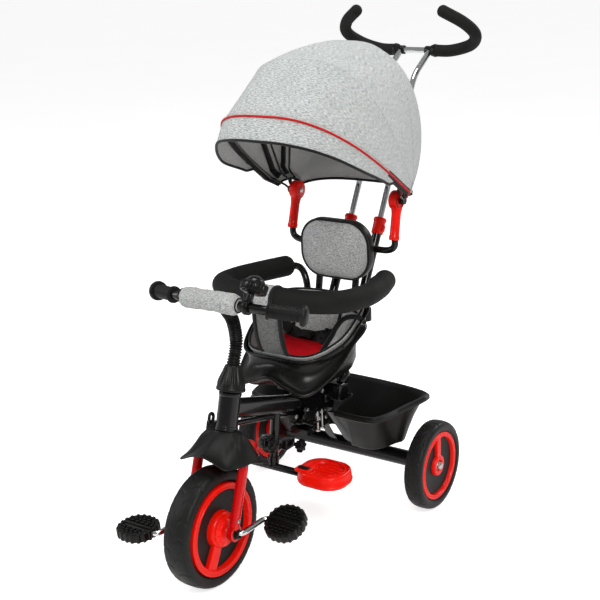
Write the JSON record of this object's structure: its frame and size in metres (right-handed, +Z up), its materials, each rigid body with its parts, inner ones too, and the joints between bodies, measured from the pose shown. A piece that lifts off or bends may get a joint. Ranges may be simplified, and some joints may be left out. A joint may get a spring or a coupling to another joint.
{
  "type": "children's tricycle",
  "caption": "Child's push-along tricycle with canopy, safety ring, footrests, storage tub, bell and sliding parent push handle.",
  "frame": {"origin": "middle of the bounding box's underside, on the ground between the wheels", "axes": "+Z up, -Y the way the tricycle faces, +X the rider's left"},
  "size_m": [0.508, 1.0155, 1.0958],
  "materials": {
    "black_plastic": "moulded, satin",
    "black_steel": "gloss black powder coat",
    "chrome_steel": "bright chrome",
    "foam": "matte black foam sleeve",
    "grey_fabric": "grey melange woven polyester, padded where it cushions",
    "grip_rubber": "soft black",
    "red_fabric": "red woven polyester",
    "red_plastic": "moulded, satin gloss",
    "red_steel": "gloss red powder coat",
    "tyre_rubber": "moulded foam rubber tyre",
    "webbing": "black woven webbing and buckle"
  },
  "bodies": {
    "frame": {"main_frame": "black_steel", "head_bush": "black_plastic", "rear_frame": "black_steel", "rear_axle": "chrome_steel", "seat_bracket": "black_steel", "storage_tub": "black_plastic", "seat_shell": "black_plastic", "seat_liner": "grey_fabric", "seat_cushion": "red_fabric", "backrest_tubes": "black_steel", "head_cushion": "grey_fabric", "crotch_strap": "grey_fabric", "lap_belt": "webbing", "push_sockets": "black_steel", "push_collar_left": "red_plastic", "push_collar_right": "red_plastic", "canopy_arm": "black_steel", "canopy_pivot_left": "red_plastic", "canopy_pivot_right": "red_plastic", "canopy_shell_rear": "grey_fabric"},
    "steering": {"fork": "red_steel", "front_fender": "black_plastic", "steering_cone": "black_plastic", "steering_boot": "tyre_rubber", "handlebar": "black_steel", "grip_left": "grip_rubber", "grip_right": "grip_rubber", "bar_pad": "grey_fabric", "bell_base": "black_plastic", "bell_dome": "black_plastic", "crank_bush_left": "black_plastic", "crank_bush_right": "black_plastic"},
    "front_wheel": {"front_tire": "tyre_rubber", "front_wheel_core": "red_plastic"},
    "freewheel_knob": {"freewheel_knob": "red_plastic"},
    "crank": {"crank": "chrome_steel"},
    "pedal_left": {"pedal_left": "black_plastic"},
    "pedal_right": {"pedal_right": "black_plastic"},
    "bell_ring": {"bell_ring": "black_plastic"},
    "rear_wheel_left": {"rear_tire_left": "tyre_rubber", "rear_wheel_core_left": "red_plastic"},
    "rear_wheel_right": {"rear_tire_right": "tyre_rubber", "rear_wheel_core_right": "red_plastic"},
    "footrest_left": {"footrest_left": "red_plastic"},
    "footrest_right": {"footrest_right": "red_plastic"},
    "footrest_latch_left": {"footrest_latch_left": "black_plastic"},
    "footrest_latch_right": {"footrest_latch_right": "black_plastic"},
    "star_knob_front": {"star_knob_front": "black_plastic"},
    "star_knob_rear": {"star_knob_rear": "black_plastic"},
    "push_handle": {"push_handle": "chrome_steel", "push_grip_left": "grip_rubber", "push_grip_right": "grip_rubber"},
    "canopy_front": {"canopy_shell_front": "grey_fabric", "canopy_rib_front": "black_steel"},
    "canopy_mid": {"canopy_shell_mid": "grey_fabric", "canopy_rib_mid": "black_steel"},
    "guard_left": {"guard_foam_left": "foam", "guard_tube_left": "black_steel"},
    "guard_right": {"guard_foam_right": "foam", "guard_tube_right": "black_steel"}
  },
  "joints": [
    {"name": "steering_turn", "type": "hinge", "parent": "frame", "child": "steering", "pos_m": [0, -0.3157, 0.312], "axis": [0, 0.2698, 0.9629], "range_deg": [-32, 32]},
    {"name": "front_wheel_spin", "type": "hinge", "parent": "steering", "child": "front_wheel", "pos_m": [0, -0.3827, 0.125], "axis": [1, 0, 0], "continuous": true},
    {"name": "crank_spin", "type": "hinge", "parent": "steering", "child": "crank", "pos_m": [0, -0.3827, 0.125], "axis": [1, 0, 0], "continuous": true},
    {"name": "freewheel_knob_pull", "type": "slide", "parent": "front_wheel", "child": "freewheel_knob", "axis": [1, 0, 0], "range_m": [0, 0.003]},
    {"name": "pedal_left_spin", "type": "hinge", "parent": "crank", "child": "pedal_left", "pos_m": [0.131, -0.30689, 0.1303], "axis": [1, 0, 0], "continuous": true},
    {"name": "pedal_right_spin", "type": "hinge", "parent": "crank", "child": "pedal_right", "pos_m": [-0.131, -0.45851, 0.1197], "axis": [1, 0, 0], "continuous": true},
    {"name": "bell_ring_twist", "type": "hinge", "parent": "steering", "child": "bell_ring", "pos_m": [0.078, -0.2967, 0.624], "axis": [0, 0.5736, 0.8192], "range_deg": [-30, 30], "stiffness_Nm_per_rad": 0.02},
    {"name": "rear_wheel_left_spin", "type": "hinge", "parent": "frame", "child": "rear_wheel_left", "pos_m": [0.229, 0.1353, 0.1015], "axis": [1, 0, 0], "continuous": true},
    {"name": "rear_wheel_right_spin", "type": "hinge", "parent": "frame", "child": "rear_wheel_right", "pos_m": [-0.229, 0.1353, 0.1015], "axis": [1, 0, 0], "continuous": true},
    {"name": "footrest_left_fold", "type": "hinge", "parent": "frame", "child": "footrest_left", "pos_m": [0, -0.1627, 0.167], "axis": [1, 0, 0], "range_deg": [0, 85]},
    {"name": "footrest_latch_left_press", "type": "slide", "parent": "footrest_left", "child": "footrest_latch_left", "axis": [0, 0, -1], "range_m": [0, 0.0025], "stiffness_N_per_m": 200},
    {"name": "footrest_right_fold", "type": "hinge", "parent": "frame", "child": "footrest_right", "pos_m": [0, -0.1627, 0.167], "axis": [1, 0, 0], "range_deg": [0, 85]},
    {"name": "footrest_latch_right_press", "type": "slide", "parent": "footrest_right", "child": "footrest_latch_right", "axis": [0, 0, -1], "range_m": [0, 0.0025], "stiffness_N_per_m": 200},
    {"name": "star_knob_front_turn", "type": "hinge", "parent": "frame", "child": "star_knob_front", "pos_m": [0.02, -0.1947, 0.232], "axis": [1, 0, 0], "continuous": true},
    {"name": "star_knob_rear_turn", "type": "hinge", "parent": "frame", "child": "star_knob_rear", "pos_m": [0.028, -0.1047, 0.2], "axis": [1, 0, 0], "continuous": true},
    {"name": "push_handle_height", "type": "slide", "parent": "frame", "child": "push_handle", "axis": [0, 0.4803, 0.8771], "range_m": [-0.18, 0]},
    {"name": "canopy_front_fold", "type": "hinge", "parent": "frame", "child": "canopy_front", "pos_m": [0, 0.1623, 0.7], "axis": [-1, 0, 0], "range_deg": [0, 44]},
    {"name": "canopy_mid_fold", "type": "hinge", "parent": "frame", "child": "canopy_mid", "pos_m": [0, 0.1623, 0.7], "axis": [-1, 0, 0], "range_deg": [0, 22]},
    {"name": "guard_left_swing", "type": "hinge", "parent": "frame", "child": "guard_left", "pos_m": [0.078, 0.1113, 0.44], "axis": [0, 0, 1], "range_deg": [0, 64]},
    {"name": "guard_right_swing", "type": "hinge", "parent": "frame", "child": "guard_right", "pos_m": [-0.078, 0.1113, 0.44], "axis": [0, 0, -1], "range_deg": [0, 64]}
  ],
  "couplings": [
    {"joint": "crank_spin", "follows": "front_wheel_spin", "ratio": 1},
    {"joint": "canopy_mid_fold", "follows": "canopy_front_fold", "ratio": 0.5}
  ]
}
